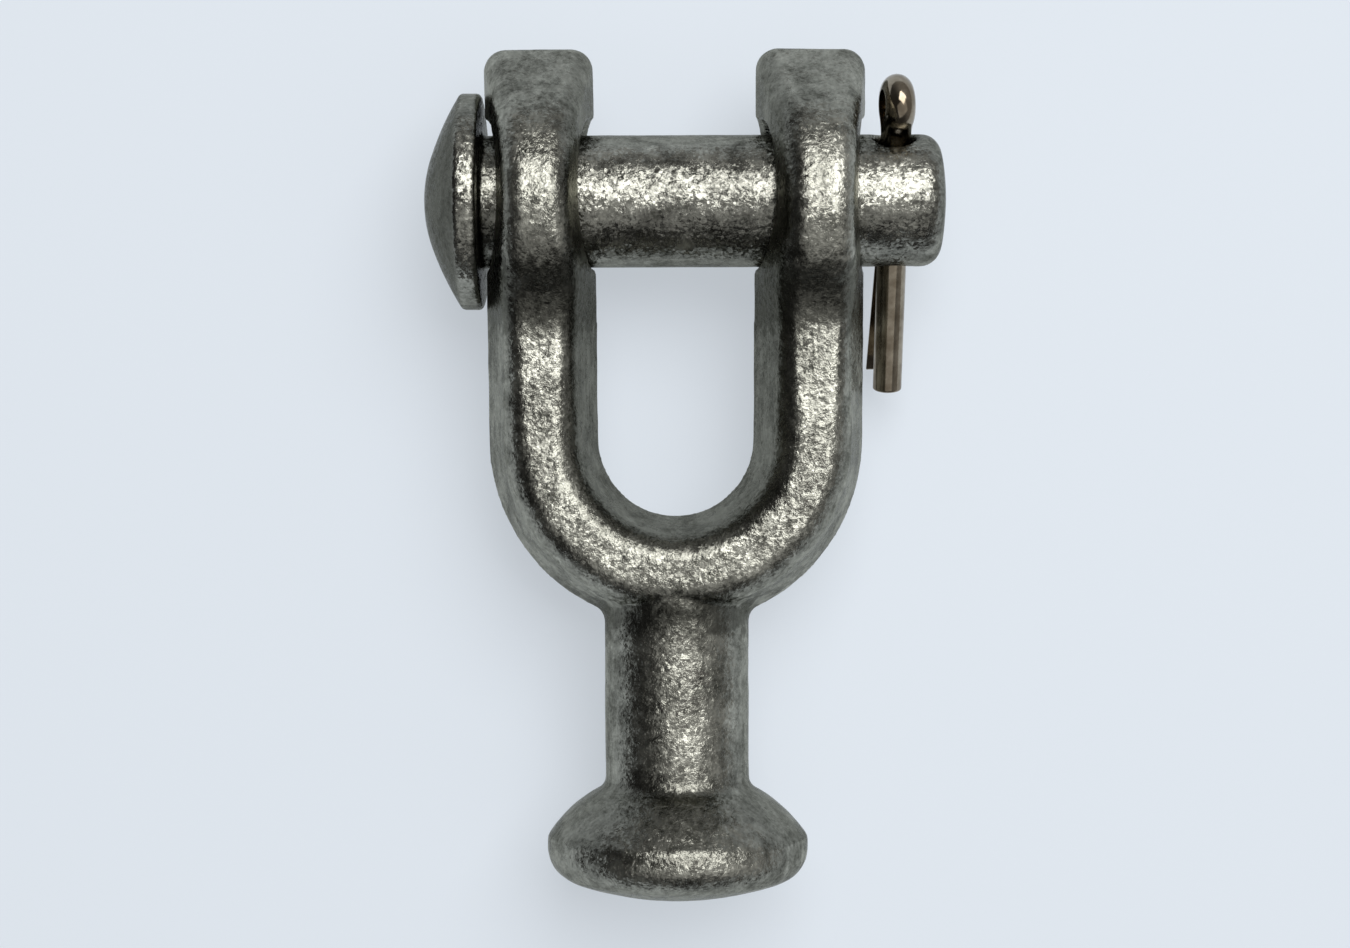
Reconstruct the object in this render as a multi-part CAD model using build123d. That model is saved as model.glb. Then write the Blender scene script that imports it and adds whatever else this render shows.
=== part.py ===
"""Ball clevis for pole-line hardware: a forged U-shaped clevis whose stem ends in a ball, with the headed
clevis pin across its two ears and the split cotter pin that keeps it in.

The clevis lies flat, as it comes to rest on a table. X runs along the clevis pin, from its head (-X) to its
cotter (+X). Y runs along the stem, from the ball (-Y) to the ears (+Y). Z is up, square to the parting plane
of the forging (z = 0). The origin is on the clevis pin's axis, midway between the ears. Millimetres.
"""

from build123d import *
from build123d.topology import SkipClean

import os
from math import asin, cos, radians, sin, sqrt, tan

# --- Clevis: the U, seen square to its parting plane ---------------------------------------------------------
jaw_gap = 18.6  # between the legs, where they run into the bow
leg_thickness = 13.4
bow_centre_y = -28.7  # the centre that the inside and the outside of the bow share
leg_splay = 0.6  # degrees that each leg leans outwards
draft = 12.0  # degrees of forging draft on the side walls

# --- Clevis: its depth, seen from the side -------------------------------------------------------------------
bar_depth = 20.0  # bow and legs
bar_corner_radius = 3.6
ear_widest_y = -0.8
ear_end_y = 18.65
ear_end_radius = 3.5
ear_corner_radius = 2.7
neck_radius = 10.0  # hollow curve that takes an ear down to its leg
ear_bore_diameter = 17.8
ear_bore_edge_radius = 0.7

# --- Clevis: stem and ball -----------------------------------------------------------------------------------
stem_diameter = 17.5
stem_root_radius = 2.0
ball_shoulder_y = -70.6  # where the stem ends and the ball's domed shoulder starts
ball_diameter = 31.5
ball_shoulder_drop = 6.1  # along the stem, from there to the ball's rim
ball_shoulder_radius = 17.0
ball_rim_height = 4.2
ball_face_radius = 38.0
ball_neck_radius = 1.8  # hollow between stem and shoulder
ball_rim_round = 1.4  # between shoulder and rim
ball_face_round = 4.2  # between rim and face

# --- Clevis pin ----------------------------------------------------------------------------------------------
pin_diameter = 16.0
pin_seat_gap = 0.05  # where the pin bears on its bores, on the side of the bow
head_diameter = 26.1
head_rim = 2.5
head_crown = 4.6  # height of the domed top above the rim
head_tip_radius = 17.0  # at the middle of the dome; its flank is flatter
head_tip_turn = 20.0  # degrees from the axis to where the flank takes over
head_edge_radius = 0.6
head_root_radius = 0.4
head_gap = 0.1  # between the head and the ear it bears on
pin_end_x = 32.7
pin_end_radius = 2.5
pin_face_radius = 32.0
cotter_hole_diameter = 5.6
cotter_hole_x = 26.3
cotter_hole_edge_radius = 0.3

# --- Cotter pin: half-round wire folded flat side in ---------------------------------------------------------
wire_width = 3.6
pin_turn = 20.0  # degrees that the pin and its cotter have turned about X, eye towards +Z
cotter_twist = 8.0  # degrees that the cotter has turned in its hole
cotter_lean = 0.5  # degrees that the eye leans outwards
cotter_offset = 0.2  # from the middle of its hole, towards the end of the pin
eye_bore_diameter = 3.8
eye_neck_radius = 4.0
eye_rise = 7.4  # from the surface of the pin to the top of the eye
leg_gap = 0.1  # between the flat sides of the closed legs
front_leg_length = 16.0  # below the surface of the pin
rear_leg_length = 14.8
rear_leg_spread = 12.0  # degrees that the rear leg is bent away
rear_leg_bend_radius = 5.0
rear_leg_bend_depth = 4.6  # of the bend, inside the far mouth of the hole
leg_tip_radius = 0.3

bar_half = bar_depth / 2
leg_half = leg_thickness / 2
bow_radius = jaw_gap / 2 + leg_half  # to the middle of the bar
stem_radius = stem_diameter / 2
ball_radius = ball_diameter / 2
ear_radius = ball_radius  # the clevis lies level on its ears and its ball
pin_radius = pin_diameter / 2
head_radius = head_diameter / 2
ear_bore_y = (ear_bore_diameter - pin_diameter) / 2 - pin_seat_gap
ear_outside_x = (bow_radius + leg_half) / cos(radians(leg_splay))
ear_outside_x += (head_radius - bow_centre_y) * tan(radians(leg_splay))


def drafted_section(half_depth, corner_radius):
    """Upper half of a forged bar's section: widest at the parting plane, drafted sides and a rounded crown."""
    crown_half = leg_half - half_depth * tan(radians(draft))
    outline = Polygon(
        (-leg_half, 0), (leg_half, 0), (crown_half, half_depth), (-crown_half, half_depth), align=None
    )
    if corner_radius:
        return fillet(outline.vertices().group_by(Axis.Y)[-1], corner_radius)
    return outline


def across_leg(y):
    """Plane square to a leg at height y: its x along the clevis pin, its y upwards."""
    return Plane(origin=(0, y, 0), x_dir=(1, 0, 0), z_dir=(0, -1, 0))


def half_ear(neck_y):
    """Upper half of an ear and its hollow neck: the side profile with drafted walls and a rounded crown."""
    neck_turn = asin((ear_widest_y - neck_y) / (ear_radius + neck_radius))
    end_centre_y = ear_end_y - ear_end_radius
    end_turn = asin((ear_radius - ear_end_radius) / (end_centre_y - ear_widest_y))

    def on_neck(angle):
        return (neck_y + neck_radius * sin(angle), bar_half + neck_radius - neck_radius * cos(angle))

    def on_ear(angle):
        return (ear_widest_y + ear_radius * sin(angle), ear_radius * cos(angle))

    def on_end(angle):
        return (end_centre_y + ear_end_radius * sin(angle), ear_end_radius * cos(angle))

    side = Plane.YZ
    profile = make_face(
        [
            ThreePointArc(on_neck(0), on_neck(neck_turn / 2), on_neck(neck_turn)),
            ThreePointArc(on_ear(-neck_turn), on_ear(0), on_ear(end_turn)),
            Line(on_ear(end_turn), on_end(end_turn)),
            ThreePointArc(on_end(end_turn), on_end((end_turn + radians(90)) / 2), (ear_end_y, 0)),
            Line((ear_end_y, 0), (neck_y, 0)),
            Line((neck_y, 0), on_neck(0)),
        ]
    )
    block = extrude(side * profile, amount=leg_half, both=True)
    walls = extrude(across_leg(neck_y) * drafted_section(ear_radius, 0), amount=neck_y - ear_end_y)
    ear = block & walls
    crown_edges = [edge for edge in ear.edges() if edge.center().Z > 0.1 and abs(edge.center().X) > 0.1]
    crown_edges = [edge for edge in crown_edges if edge.center().Y > neck_y + 0.1]
    return fillet(crown_edges, ear_corner_radius)


def half_leg():
    """Upper half of a leg, standing on the bow: the ear above, easing into the rounder bar below."""
    neck_y = ear_widest_y - sqrt((ear_radius + neck_radius) ** 2 - (bar_half + neck_radius) ** 2)
    upper = across_leg(neck_y) * drafted_section(bar_half, ear_corner_radius)
    lower = across_leg(bow_centre_y) * drafted_section(bar_half, bar_corner_radius)
    leg = half_ear(neck_y) + loft([upper, lower])
    return Pos(bow_radius, 0, 0) * leg


def stem_outline():
    """Right-hand outline of the stem and the ball, turned about the Y axis."""
    stem_start = (stem_radius, ball_shoulder_y)
    rim_top = (ball_radius, ball_shoulder_y - ball_shoulder_drop)
    rim_bottom = (ball_radius, ball_shoulder_y - ball_shoulder_drop - ball_rim_height)
    face_centre_y = rim_bottom[1] + sqrt(ball_face_radius**2 - ball_radius**2)
    half_turn = asin(ball_radius / ball_face_radius) / 2
    on_face = (ball_face_radius * sin(half_turn), face_centre_y - ball_face_radius * cos(half_turn))
    face_middle = (0, face_centre_y - ball_face_radius)
    side = make_face(
        [
            Line((0, bow_centre_y - bow_radius), (stem_radius, bow_centre_y - bow_radius)),
            Line((stem_radius, bow_centre_y - bow_radius), stem_start),
            RadiusArc(stem_start, rim_top, ball_shoulder_radius),
            Line(rim_top, rim_bottom),
            ThreePointArc(rim_bottom, on_face, face_middle),
            Line(face_middle, (0, bow_centre_y - bow_radius)),
        ]
    )
    corners = {
        stem_start: ball_neck_radius,
        rim_top: min(ball_rim_round, ball_rim_height),
        rim_bottom: min(ball_face_round, ball_rim_height),
    }
    for corner, radius in corners.items():
        side = fillet(side.vertices().sort_by_distance(corner)[0], radius)
    return side


def make_clevis_body():
    """The one-piece forging: its half above the parting plane, mirrored to make the half below."""
    splay = Pos(0, bow_centre_y, 0) * Rot(0, 0, -leg_splay) * Pos(0, -bow_centre_y, 0)
    right_leg = splay * half_leg()
    bow_section = across_leg(bow_centre_y) * drafted_section(bar_half, bar_corner_radius)
    bow_axis = Axis((0, bow_centre_y, 0), (0, 0, -1))
    bow = revolve(splay * Pos(bow_radius, 0, 0) * bow_section, bow_axis, 180 - 2 * leg_splay)
    stem = revolve(stem_outline(), Axis((0, 0, 0), (0, -1, 0)), 180)
    half = bow + right_leg + mirror(right_leg, Plane.YZ) + stem

    on_bow_side = half.edges().filter_by(GeomType.BSPLINE).filter_by_position(Axis.X, -stem_radius, stem_radius)
    half = fillet(on_bow_side.filter_by_position(Axis.Y, ball_shoulder_y, bow_centre_y), stem_root_radius)

    bore_radius = ear_bore_diameter / 2
    half = half - Pos(0, ear_bore_y, 0) * Rot(0, 90, 0) * Cylinder(bore_radius, 4 * bow_radius)
    mouths = half.edges().filter_by(GeomType.ELLIPSE).filter_by_position(
        Axis.Y, ear_bore_y - bore_radius, ear_bore_y + bore_radius
    )
    mouths = [edge for edge in mouths if abs(edge.bounding_box().size.Y - ear_bore_diameter) < 0.01]
    half = fillet(mouths, ear_bore_edge_radius)
    with SkipClean():
        return half + mirror(half, Plane.XY)


def along_hole():
    """Plane on the pin's axis at the cotter hole: its y runs up the hole to the eye, its x to the front leg."""
    upright = Plane(origin=(0, 0, 0), x_dir=(0, 0, 1), z_dir=(-1, 0, 0))
    return Pos(cotter_hole_x, 0, 0) * Rot(pin_turn, 0, 0) * upright.location


def make_clevis_pin():
    """Domed head, plain shank, rounded end and the cross-drilled hole for the cotter."""
    head_x = -(ear_outside_x + head_gap)
    rim_x = head_x - head_rim
    tip_x = rim_x - head_crown

    def on_tip(angle):
        return Vector(tip_x + head_tip_radius * (1 - cos(angle)), head_tip_radius * sin(angle))

    def on_face(angle):
        return Vector(pin_end_x - pin_face_radius * (1 - cos(angle)), pin_face_radius * sin(angle))

    turn = radians(head_tip_turn)
    edge_turn = asin(pin_radius / pin_face_radius)
    outline = make_face(
        [
            ThreePointArc(on_tip(0), on_tip(turn / 2), on_tip(turn)),
            TangentArc(on_tip(turn), (rim_x, head_radius), tangent=(sin(turn), cos(turn))),
            Line((rim_x, head_radius), (head_x, head_radius)),
            Line((head_x, head_radius), (head_x, pin_radius)),
            Line((head_x, pin_radius), on_face(edge_turn)),
            ThreePointArc(on_face(edge_turn), on_face(edge_turn / 2), on_face(0)),
            Line(on_face(0), on_tip(0)),
        ]
    )
    rim_corners = [corner for corner in outline.vertices() if abs(corner.Y - head_radius) < 0.01]
    outline = fillet(rim_corners, head_edge_radius)
    outline = fillet(outline.vertices().sort_by_distance((head_x, pin_radius))[0], head_root_radius)
    outline = fillet(outline.vertices().sort_by_distance((pin_end_x, pin_radius))[0], pin_end_radius)
    pin = revolve(outline, Axis.X, 360)
    hole = along_hole() * Rot(90, 0, 0) * Cylinder(cotter_hole_diameter / 2, 2 * pin_diameter)
    pin = pin - hole
    hole_mouths = [edge for edge in pin.edges() if edge.geom_type == GeomType.BSPLINE]
    return fillet(hole_mouths, cotter_hole_edge_radius)


def make_cotter_pin():
    """Half-round wire, flat side inwards: front leg, neck, eye, neck and the rear leg bent away."""
    flat = leg_gap / 2
    eye_radius = eye_bore_diameter / 2
    eye_y = pin_radius + eye_rise - eye_radius - wire_width / 2
    neck_x = flat + eye_neck_radius
    reach = eye_radius + eye_neck_radius
    neck_y = eye_y - sqrt(reach**2 - neck_x**2)
    neck_turn = asin((eye_y - neck_y) / reach)

    def on_neck(angle):
        return Vector(neck_x - eye_neck_radius * cos(angle), neck_y + eye_neck_radius * sin(angle))

    def on_rear(point):
        return Vector(-point.X, point.Y)

    bend_y = -(pin_radius - rear_leg_bend_depth)
    spread = radians(rear_leg_spread)
    bend_x = -flat - rear_leg_bend_radius

    def on_bend(angle):
        return Vector(bend_x + rear_leg_bend_radius * cos(angle), bend_y - rear_leg_bend_radius * sin(angle))

    tip_y = -(pin_radius + rear_leg_length)
    rear_reach = (on_bend(spread).Y - tip_y) / cos(spread)
    rear_tip = on_bend(spread) + Vector(-sin(spread), -cos(spread)) * rear_reach
    front_tip = Vector(flat, -(pin_radius + front_leg_length))
    path = Wire(
        [
            Line(front_tip, on_neck(0)),
            ThreePointArc(on_neck(0), on_neck(neck_turn / 2), on_neck(neck_turn)),
            ThreePointArc(on_neck(neck_turn), (0, eye_y + eye_radius), on_rear(on_neck(neck_turn))),
            ThreePointArc(on_rear(on_neck(neck_turn)), on_rear(on_neck(neck_turn / 2)), on_rear(on_neck(0))),
            Line(on_rear(on_neck(0)), on_bend(0)),
            ThreePointArc(on_bend(0), on_bend(spread / 2), on_bend(spread)),
            Line(on_bend(spread), rear_tip),
        ]
    )
    wire_plane = Plane(origin=(front_tip.X, front_tip.Y, 0), x_dir=(1, 0, 0), z_dir=(0, 1, 0))
    disc = wire_plane * Circle(wire_width / 2)
    half_disc = split(disc, Plane(origin=(flat, 0, 0), z_dir=(1, 0, 0)), keep=Keep.TOP)
    cotter = sweep(half_disc, path)
    tips = cotter.faces().filter_by(GeomType.PLANE).sort_by(Axis.Y)[:2]
    cotter = fillet(ShapeList(tips).edges(), leg_tip_radius)
    return Pos(cotter_offset, 0, 0) * along_hole() * Rot(-cotter_lean, 0, 0) * Rot(0, cotter_twist, 0) * cotter


parts = {
    "clevis_body": make_clevis_body(),
    "clevis_pin": make_clevis_pin(),
    "cotter_pin": make_cotter_pin(),
}
os.makedirs("parts", exist_ok=True)
for name, shape in parts.items():
    export_step(shape, f"parts/{name}.step")
    print(name, shape.is_valid, len(shape.solids()), round(shape.volume), shape.bounding_box())
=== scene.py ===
"""The look of the ball clevis: hot-dip galvanised forging and pin, and a smooth drawn-wire cotter.

Everything is in metres, in the frame of the CAD part: X along the clevis pin, Y from the ball to the ears,
Z up. The clevis lies flat on a pale floor, and the camera looks straight down on it.
"""

import math

import bpy
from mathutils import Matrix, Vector


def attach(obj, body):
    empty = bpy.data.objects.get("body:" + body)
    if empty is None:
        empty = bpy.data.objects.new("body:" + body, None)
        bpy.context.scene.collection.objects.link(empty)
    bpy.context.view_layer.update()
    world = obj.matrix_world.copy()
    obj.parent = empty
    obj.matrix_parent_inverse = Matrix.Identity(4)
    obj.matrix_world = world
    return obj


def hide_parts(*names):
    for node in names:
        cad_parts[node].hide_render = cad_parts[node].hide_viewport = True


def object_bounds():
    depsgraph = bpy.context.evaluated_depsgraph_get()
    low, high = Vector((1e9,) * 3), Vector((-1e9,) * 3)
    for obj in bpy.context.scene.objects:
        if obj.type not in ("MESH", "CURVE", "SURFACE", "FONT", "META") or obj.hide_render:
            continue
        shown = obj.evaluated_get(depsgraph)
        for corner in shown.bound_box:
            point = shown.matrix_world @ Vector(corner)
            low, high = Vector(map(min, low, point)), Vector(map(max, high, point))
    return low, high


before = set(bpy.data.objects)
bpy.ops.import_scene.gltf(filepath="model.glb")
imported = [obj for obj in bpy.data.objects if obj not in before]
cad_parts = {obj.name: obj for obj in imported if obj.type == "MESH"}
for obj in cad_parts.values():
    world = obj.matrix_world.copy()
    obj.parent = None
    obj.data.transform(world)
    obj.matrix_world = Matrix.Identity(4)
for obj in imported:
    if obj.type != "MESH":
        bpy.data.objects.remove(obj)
cad_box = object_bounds()

MM = 0.001

# The photograph: its size in pixels, and how the object sits in it.
IMAGE_WIDTH, IMAGE_HEIGHT = 1350, 948
PIXELS_PER_MM = 8.25
PIN_PIXEL = (674.9, 201.5)  # centre of the clevis pin
ROLL_DEGREES = 0.23
CAMERA_HEIGHT = 300 * MM  # above the clevis pin
SENSOR_WIDTH_MM = 36.0
OBJECT_MIDDLE = Vector((0, -33 * MM, 0))  # where the lamps are aimed

# Where the forging's forms lie.
BOW_CENTRE_Y = -28.7 * MM
BAR_MIDDLE_RADIUS = 16 * MM  # of the bow, and half the distance between the legs
LEG_SPLAY = 0.0105
EAR_HEIGHT, BAR_HEIGHT = 15.75 * MM, 10 * MM  # above the parting plane
NECK_START_Y, NECK_END_Y = -8 * MM, -17 * MM  # from the ear down to the bar
STEM_RADIUS = 8.75 * MM
ROOT_BOW_Y, ROOT_STEM_Y = -47.5 * MM, -54 * MM  # the hollow where the stem leaves the bow
ROOT_EDGE_Y = -47 * MM  # beyond it the bar's crown is as the CAD part has it
BALL_NECK_Y, BALL_SHOULDER_Y, BALL_CREST_Y = -70.8 * MM, -74 * MM, -79.3 * MM

# What forging, trimming and dipping did to them.
EAR_WIDEN, BAR_NARROW = 0.08, 0.17  # change of the crown's width
SQUEEZE_REACH = (6.4 * MM, 8.4 * MM)  # from the middle of the bar: that change fades out between these
LEFT_LEG_LEAN, RIGHT_LEG_LEAN = 0.012, 0.045  # sideways shift for the height above the parting plane
ROOT_RISE = 0.09  # of the stem's height where it leaves the bow
BALL_FALL = 0.034  # of the ball's height, lost from its crest towards the stem
BALL_FALL_LENGTH = 3.6 * MM  # from the crest to where all of that is lost

# Colours of the zinc and the wire; the dark zinc colour is also the colour of the painted shade.
FORGING_DROSS_AND_SHADE, FORGING_ZINC = (0.048, 0.048, 0.040, 1), (0.50, 0.497, 0.434, 1)
PIN_DROSS_AND_SHADE, PIN_ZINC = (0.05, 0.05, 0.043, 1), (0.47, 0.467, 0.410, 1)
WIRE_TARNISH, WIRE_CLEAN = (0.20, 0.165, 0.12, 1), (0.36, 0.315, 0.245, 1)
ZINC_SHEEN = (0.55, 0.55, 0.52, 1)  # at grazing angles
CLEAN_IN_SHADED_HOLLOWS, CLEAN_PAST_SHADED_X, CLEAN_IN_INNER_SHADE = 0.3, 0.35, 0.62  # what each painted shade keeps of the bright zinc: in a hollow, on the pin's head, inside the U
HOLLOW_FADE_MM = 3  # from either end of a hollow to its full painted shade

FLOOR_COLOUR = (0.768, 0.825, 0.890, 1)
FLOOR_GLOW = 0.6  # share of the floor's colour that its shadows don't darken
FLOOR_HALF_WIDTH = 4.0
WORLD_DARK, WORLD_BRIGHT = 0.06, 0.36  # brightness of the surroundings
WORLD_LEAN = (0.7, 0.5)  # along X and Y, towards the bright side
WORLD_FADE = (-0.25, 0.65)  # along that lean, from dark to bright


# --- Node helpers ---------------------------------------------------------------------------------


class Nodes:
    """Short names for building a node tree: most calls add nodes and return the output socket of the last."""

    def __init__(self, owner):
        owner.use_nodes = True
        self.tree = owner.node_tree
        self.tree.nodes.clear()

    def add(self, kind, **values):
        node = self.tree.nodes.new(kind)
        for name, value in values.items():
            setattr(node, name, value)
        return node

    def feed(self, socket, value):
        if isinstance(value, bpy.types.NodeSocket):
            self.tree.links.new(value, socket)
        else:
            socket.default_value = value

    def coordinates(self, scale=(1, 1, 1)):
        """Position on the object in metres, stretched by scale."""
        mapping = self.add("ShaderNodeMapping")
        self.feed(mapping.inputs["Vector"], self.add("ShaderNodeTexCoord").outputs["Object"])
        mapping.inputs["Scale"].default_value = scale
        return mapping.outputs["Vector"]

    def separate(self, vector):
        """The outputs X, Y and Z of a vector."""
        node = self.add("ShaderNodeSeparateXYZ")
        self.feed(node.inputs[0], vector)
        return node.outputs

    def noise(self, grain_mm, detail, roughness=0.55, distortion=0.0, stretch=(1, 1, 1)):
        """Cloudy noise, 0 to 1, whose lumps are about grain_mm across."""
        texture = self.add("ShaderNodeTexNoise")
        self.feed(texture.inputs["Vector"], self.coordinates(stretch))
        texture.inputs["Scale"].default_value = 1 / (grain_mm * MM)
        texture.inputs["Detail"].default_value = detail
        texture.inputs["Roughness"].default_value = roughness
        texture.inputs["Distortion"].default_value = distortion
        return texture.outputs["Fac"]

    def facets(self, grain_mm, tilt, normal):
        """Tips the normal a random way on each crystal, about grain_mm across, so that the skin sparkles."""
        jitter_size = 2.5 * grain_mm * MM
        jitter = self.add("ShaderNodeTexNoise")
        self.feed(jitter.inputs["Vector"], self.coordinates())
        jitter.inputs["Scale"].default_value = 1 / jitter_size
        jitter.inputs["Detail"].default_value = 3
        bent = self.vector("MULTIPLY_ADD", jitter.outputs["Color"], (jitter_size,) * 3, self.coordinates())
        crystals = self.add("ShaderNodeTexVoronoi")
        self.feed(crystals.inputs["Vector"], bent)
        crystals.inputs["Scale"].default_value = 1 / (grain_mm * MM)
        tip = self.vector("MULTIPLY_ADD", crystals.outputs["Color"], (tilt,) * 3, (-tilt / 2,) * 3)
        return self.vector("NORMALIZE", self.vector("ADD", normal, tip))

    def vector(self, operation, *values):
        node = self.add("ShaderNodeVectorMath", operation=operation)
        for socket, value in zip(node.inputs, values):
            self.feed(socket, value)
        return node.outputs[0]

    def math(self, operation, *values):
        node = self.add("ShaderNodeMath", operation=operation)
        for socket, value in zip(node.inputs, values):
            self.feed(socket, value)
        return node.outputs[0]

    def levels(self, value, low, high, to_low=0.0, to_high=1.0):
        """Maps low..high to to_low..to_high, with soft ends, and holds it there outside."""
        node = self.add("ShaderNodeMapRange", interpolation_type="SMOOTHSTEP")
        self.feed(node.inputs["Value"], value)
        node.inputs["From Min"].default_value = low
        node.inputs["From Max"].default_value = high
        node.inputs["To Min"].default_value = to_low
        node.inputs["To Max"].default_value = to_high
        return node.outputs["Result"]

    def weighted(self, *pairs):
        """The sum of each value times its weight."""
        total, *others = [self.math("MULTIPLY", value, weight) for value, weight in pairs]
        for term in others:
            total = self.math("ADD", total, term)
        return total

    def mix(self, share, colour, other):
        """The first colour where share is 0, the other where it is 1."""
        node = self.add("ShaderNodeMix", data_type="RGBA")
        self.feed(node.inputs["Factor"], share)
        self.feed(node.inputs[6], colour)
        self.feed(node.inputs[7], other)
        return node.outputs[2]

    def bump(self, height, depth_mm, normal=None):
        node = self.add("ShaderNodeBump")
        self.feed(node.inputs["Height"], height)
        node.inputs["Distance"].default_value = depth_mm * MM
        node.inputs["Strength"].default_value = 1.0
        if normal:
            self.feed(node.inputs["Normal"], normal)
        return node.outputs["Normal"]

    def metal(self, colour, roughness, normal, **constants):
        shader = self.add("ShaderNodeBsdfPrincipled")
        self.feed(shader.inputs["Base Color"], colour)
        self.feed(shader.inputs["Roughness"], roughness)
        self.feed(shader.inputs["Normal"], normal)
        shader.inputs["Metallic"].default_value = 1.0
        for name, value in constants.items():
            shader.inputs[name].default_value = value
        output = self.add("ShaderNodeOutputMaterial")
        self.feed(output.inputs["Surface"], shader.outputs["BSDF"])


# --- Materials ------------------------------------------------------------------------------------


def galvanised(
    name, dross_and_shade, zinc, roughness, grain_depth_mm, sparkle, runs, side_painted_light, shaded_past_x=None, shaded_hollows=()
):
    """Dipped zinc: blotches of dross and bright metal, a grainy skin and fine runs along the piece, with
    painted light and painted shade.

    runs stretches the runs along the piece.
    side_painted_light scales the share of bright metal on the sides against that on the top: painted light,
    lighter sides.
    shaded_past_x is (from_mm, to_mm): past to_mm along X the zinc is painted darker, painted shade on the
    pin's head.
    shaded_hollows are (from_mm, to_mm) along Y: between them the zinc is painted darker, painted shade in a
    hollow.
    Faces turned in towards the U, and the ball's side towards the stem, are painted darker: painted shade.
    """
    material = bpy.data.materials.new(name)
    n = Nodes(material)
    place = n.separate(n.coordinates())
    facing = n.separate(n.add("ShaderNodeTexCoord").outputs["Normal"])

    blotch = n.levels(n.noise(5.5, detail=6, roughness=0.65, distortion=0.5), 0.38, 0.62)
    mottle = n.levels(n.noise(1.7, detail=5, roughness=0.6), 0.3, 0.7)
    streak = n.levels(n.noise(0.9, detail=4, roughness=0.6, stretch=runs), 0.35, 0.68)
    speck = n.levels(n.noise(0.4, detail=3, roughness=0.6), 0.34, 0.68)
    # The share of bright zinc: random blotches here, then scaled below by painted light and painted shade.
    clean_and_painted_light = n.weighted((blotch, 0.34), (mottle, 0.22), (streak, 0.22), (speck, 0.22))

    # Lighter on sharp edges and darker in creases, by the mesh's pointiness.
    edges_and_creases = n.levels(n.add("ShaderNodeNewGeometry").outputs["Pointiness"], 0.44, 0.56, 0.6, 1.2)
    clean_and_painted_light = n.math("MULTIPLY", clean_and_painted_light, edges_and_creases)
    upright = n.math("ABSOLUTE", facing["Z"])
    # Painted light: faces turned sideways are painted lighter (or darker) than the top, by the side factor.
    clean_and_painted_light = n.math("MULTIPLY", clean_and_painted_light, n.levels(upright, 0.1, 0.65, side_painted_light, 1.0))
    # Painted shade: faces turned in towards the U, and the ball's shoulder, are painted darker.
    beyond_bow = n.math("MINIMUM", n.math("SUBTRACT", place["Y"], BOW_CENTRE_Y), 0.0)
    outward = n.weighted((facing["Y"], beyond_bow), (facing["X"], place["X"]))
    clean_and_painted_light = n.math("MULTIPLY", clean_and_painted_light, n.levels(outward, -6 * MM, -1 * MM, CLEAN_IN_INNER_SHADE, 1.0))
    ragged_y = n.math("ADD", place["Y"], n.levels(mottle, 0, 1, -1.2 * MM, 1.2 * MM))
    # Painted shade: along Y between the ends of each hollow the zinc is painted darker.
    for from_mm, to_mm in shaded_hollows:
        past_start = n.levels(ragged_y, from_mm * MM, (from_mm + HOLLOW_FADE_MM) * MM)
        before_end = n.levels(ragged_y, to_mm * MM, (to_mm - HOLLOW_FADE_MM) * MM)
        within = n.math("MULTIPLY", past_start, before_end)
        clean_and_painted_light = n.math("MULTIPLY", clean_and_painted_light, n.levels(within, 0, 1, 1.0, CLEAN_IN_SHADED_HOLLOWS))
    # Painted shade: past a point along X the zinc is painted darker.
    if shaded_past_x:
        from_mm, to_mm = shaded_past_x
        shade_past_x = n.levels(place["X"], to_mm * MM, from_mm * MM, CLEAN_PAST_SHADED_X, 1.0)
        clean_and_painted_light = n.math("MULTIPLY", clean_and_painted_light, shade_past_x)

    roughness = n.math("ADD", roughness, n.weighted((mottle, 0.07), (blotch, 0.04)))
    normal = n.bump(n.noise(2.2, detail=2), 0.03)
    normal = n.bump(n.noise(0.7, detail=3, roughness=0.7), grain_depth_mm, normal)
    normal = n.facets(0.38, sparkle, normal)
    n.metal(n.mix(clean_and_painted_light, dross_and_shade, zinc), roughness, normal, **{"Specular Tint": ZINC_SHEEN})
    return material


def drawn_wire(name):
    """Smooth drawn wire, slightly brown, with faint lines along it."""
    material = bpy.data.materials.new(name)
    n = Nodes(material)
    tarnish = n.levels(n.noise(2.4, detail=5, roughness=0.6), 0.35, 0.7)
    lines = n.noise(0.5, detail=3, stretch=(1, 0.05, 0.3))
    colour = n.mix(tarnish, WIRE_TARNISH, WIRE_CLEAN)
    roughness = n.levels(lines, 0.3, 0.7, 0.10, 0.18)
    n.metal(colour, roughness, n.bump(lines, 0.008))
    return material


# --- Pieces ---------------------------------------------------------------------------------------


def smooth_step(value, start, end):
    share = min(max((value - start) / (end - start), 0.0), 1.0)
    return share * share * (3 - 2 * share)


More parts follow.
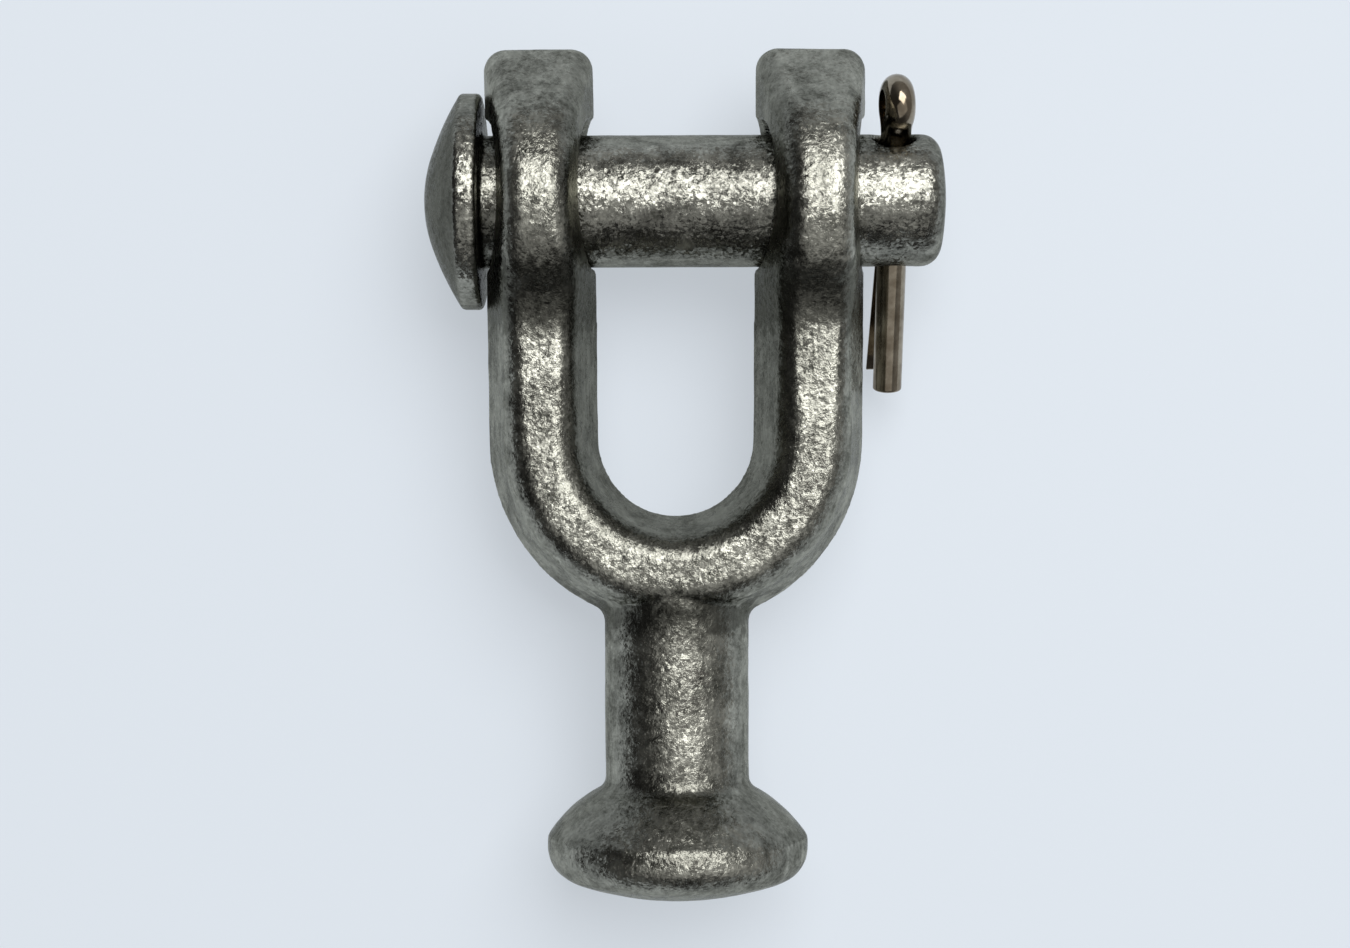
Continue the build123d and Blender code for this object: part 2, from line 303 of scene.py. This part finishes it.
def work_forging(mesh):
    """Gives the skin what the dies and the trimming did: forms too slight and uneven for the CAD part."""
    for vertex in mesh.vertices:
        x, y, z = vertex.co

        # Slacker walls on the bar than on the ears, and dies that met a little apart.
        along = min(y - BOW_CENTRE_Y, 0.0)
        radius = math.hypot(x, along)
        off_middle = radius - BAR_MIDDLE_RADIUS - max(y - BOW_CENTRE_Y, 0.0) * LEG_SPLAY
        on_bar = smooth_step(y, NECK_START_Y, NECK_END_Y)
        on_u = 1 - smooth_step(abs(off_middle), *SQUEEZE_REACH)
        squeeze = abs(z) * (EAR_WIDEN * (1 - on_bar) / EAR_HEIGHT - BAR_NARROW * on_bar / BAR_HEIGHT)
        scale = 1 + off_middle * squeeze * on_u / radius if radius else 1
        lean = RIGHT_LEG_LEAN if x > 0 else LEFT_LEG_LEAN
        vertex.co.x = x * scale + lean * z * smooth_step(abs(x), 0, BAR_MIDDLE_RADIUS)
        if along:
            vertex.co.y = BOW_CENTRE_Y + along * scale

        # A longer hollow from the bow to the stem.
        if abs(x) < STEM_RADIUS and ROOT_STEM_Y < y < ROOT_EDGE_Y:
            rise = ROOT_RISE * smooth_step(y, ROOT_STEM_Y, ROOT_BOW_Y)
            root = math.sqrt(STEM_RADIUS**2 - x * x) * (1 + rise)
            vertex.co.z = math.copysign(max(abs(z), root), z)

        # A ball that is lower towards the stem than at its crest.
        past_crest = min(max((y - BALL_CREST_Y) / BALL_FALL_LENGTH, 0.0), 1.0)
        on_ball = smooth_step(y, BALL_NECK_Y, BALL_SHOULDER_Y)
        vertex.co.z *= 1 - BALL_FALL * past_crest * on_ball


def skinned_copy(node, name, body, voxel_mm, lumps):
    """A dense, even mesh laid on the CAD node's surface and pitted by lumps: (size in mm, height in mm)."""
    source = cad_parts[node]
    piece = bpy.data.objects.new(name, source.data.copy())
    bpy.context.collection.objects.link(piece)
    piece.modifiers.new("even", "REMESH").voxel_size = voxel_mm * MM
    wrap = piece.modifiers.new("laid on", "SHRINKWRAP")
    wrap.target = source
    wrap.wrap_method = "NEAREST_SURFACEPOINT"
    for size_mm, height_mm in lumps:
        texture = bpy.data.textures.new(f"{name} {size_mm}", "CLOUDS")
        texture.noise_scale = size_mm * MM
        texture.noise_depth = 2
        lump = piece.modifiers.new(f"lumps {size_mm}", "DISPLACE")
        lump.texture = texture
        lump.texture_coords = "LOCAL"
        lump.mid_level = 0.8  # most of the skin sinks, so that it stays within the CAD part's box
        lump.strength = height_mm * MM
    bpy.context.view_layer.update()
    evaluated = piece.evaluated_get(bpy.context.evaluated_depsgraph_get())
    mesh = bpy.data.meshes.new_from_object(evaluated)
    piece.modifiers.clear()
    piece.data = mesh
    mesh.shade_smooth()
    mesh.materials.clear()
    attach(piece, body)
    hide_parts(node)
    return piece


forging = skinned_copy("clevis_body", "forging", "clevis", voxel_mm=0.45, lumps=[(6.0, 0.16), (1.6, 0.05)])
work_forging(forging.data)
forging_zinc = galvanised(
    "zinc on the forging",
    FORGING_DROSS_AND_SHADE,
    FORGING_ZINC,
    roughness=0.215,
    grain_depth_mm=0.13,
    sparkle=0.21,
    runs=(1, 0.12, 1),
    # painted light: the walls are painted lighter than the crown
    side_painted_light=1.42,
    # painted shade in the hollow of the neck and in the hollow at the stem's root
    shaded_hollows=[(-17.5, -6.5), (-53.5, -46.5)],
)
forging.data.materials.append(forging_zinc)

headed_pin = skinned_copy("clevis_pin", "headed_pin", "pin", voxel_mm=0.40, lumps=[(6.0, 0.08), (1.4, 0.02)])
pin_zinc = galvanised(
    "zinc on the pin",
    PIN_DROSS_AND_SHADE,
    PIN_ZINC,
    roughness=0.20,
    grain_depth_mm=0.10,
    sparkle=0.27,
    runs=(0.2, 1, 1),
    side_painted_light=1.0,
    # painted shade on the head's dome
    shaded_past_x=(-25.2, -26.2),
)
headed_pin.data.materials.append(pin_zinc)

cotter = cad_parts["cotter_pin"]
cotter.data.materials.clear()
cotter.data.materials.append(drawn_wire("cotter wire"))


# --- Floor, camera and light ----------------------------------------------------------------------


def make_floor():
    """A flat pale floor with a soft, weak shadow, and as pale where the metal reflects it."""
    half, floor_z = FLOOR_HALF_WIDTH, cad_box[0][2]
    corners = [(-half, -half, floor_z), (half, -half, floor_z), (half, half, floor_z), (-half, half, floor_z)]
    mesh = bpy.data.meshes.new("floor")
    mesh.from_pydata(corners, [], [(0, 1, 2, 3)])
    floor = bpy.data.objects.new("floor", mesh)
    bpy.context.collection.objects.link(floor)
    material = bpy.data.materials.new("pale floor")
    n = Nodes(material)
    lit = n.add("ShaderNodeBsdfDiffuse")
    lit.inputs["Color"].default_value = FLOOR_COLOUR
    glow = n.add("ShaderNodeEmission")
    glow.inputs["Color"].default_value = FLOOR_COLOUR
    ray = n.add("ShaderNodeLightPath").outputs
    seen = n.math("MAXIMUM", ray["Is Camera Ray"], ray["Is Glossy Ray"])
    seen = n.math("MAXIMUM", seen, ray["Is Transmission Ray"])
    blend = n.add("ShaderNodeMixShader")
    n.feed(blend.inputs[0], n.math("MULTIPLY", seen, FLOOR_GLOW))
    n.feed(blend.inputs[1], lit.outputs["BSDF"])
    n.feed(blend.inputs[2], glow.outputs["Emission"])
    output = n.add("ShaderNodeOutputMaterial")
    n.feed(output.inputs["Surface"], blend.outputs["Shader"])
    mesh.materials.append(material)


def make_camera():
    """Straight above, with the clevis pin at its pixel in the photograph."""
    data = bpy.data.cameras.new("camera")
    data.sensor_width = SENSOR_WIDTH_MM
    data.lens = PIXELS_PER_MM * CAMERA_HEIGHT / MM * SENSOR_WIDTH_MM / IMAGE_WIDTH
    data.clip_start = 10 * MM
    camera = bpy.data.objects.new("camera", data)
    bpy.context.collection.objects.link(camera)
    right = (IMAGE_WIDTH / 2 - PIN_PIXEL[0]) / PIXELS_PER_MM * MM
    down = (IMAGE_HEIGHT / 2 - PIN_PIXEL[1]) / PIXELS_PER_MM * MM
    roll = math.radians(ROLL_DEGREES)
    across = Vector((math.cos(roll), -math.sin(roll), 0))
    up = Vector((math.sin(roll), math.cos(roll), 0))
    camera.location = across * right - up * down + Vector((0, 0, CAMERA_HEIGHT))
    camera.rotation_euler = (0, 0, -roll)
    bpy.context.scene.camera = camera


def make_lamp(name, towards, distance, size, power):
    """Soft rectangular lamp in the direction towards, aimed at the middle of the object."""
    data = bpy.data.lights.new(name, "AREA")
    data.shape = "RECTANGLE"
    data.size, data.size_y = size
    data.energy = power
    lamp = bpy.data.objects.new(name, data)
    bpy.context.collection.objects.link(lamp)
    away = Vector(towards).normalized()
    lamp.location = OBJECT_MIDDLE + away * distance
    lamp.rotation_euler = away.to_track_quat("Z", "Y").to_euler()


def make_world():
    """Soft surroundings: brighter beyond the ears and on the right, dark on the left and beyond the ball."""
    world = bpy.data.worlds.new("surroundings")
    bpy.context.scene.world = world
    n = Nodes(world)
    direction = n.separate(n.add("ShaderNodeTexCoord").outputs["Generated"])
    lean = n.weighted((direction["X"], WORLD_LEAN[0]), (direction["Y"], WORLD_LEAN[1]))
    level = n.levels(lean, *WORLD_FADE, WORLD_DARK, WORLD_BRIGHT)
    background = n.add("ShaderNodeBackground")
    n.feed(background.inputs["Color"], n.mix(level, (0, 0, 0, 1), (1, 1, 1, 1)))
    output = n.add("ShaderNodeOutputWorld")
    n.feed(output.inputs["Surface"], background.outputs["Background"])


make_floor()
make_camera()
make_lamp("key softbox", towards=(0.22, 0.42, 1.0), distance=0.9, size=(0.68, 0.58), power=6.4)
make_lamp("fill softbox", towards=(0.2, -0.34, 1.0), distance=1.1, size=(1.5, 1.2), power=2.8)
make_world()
bpy.context.scene.view_settings.view_transform = "Standard"
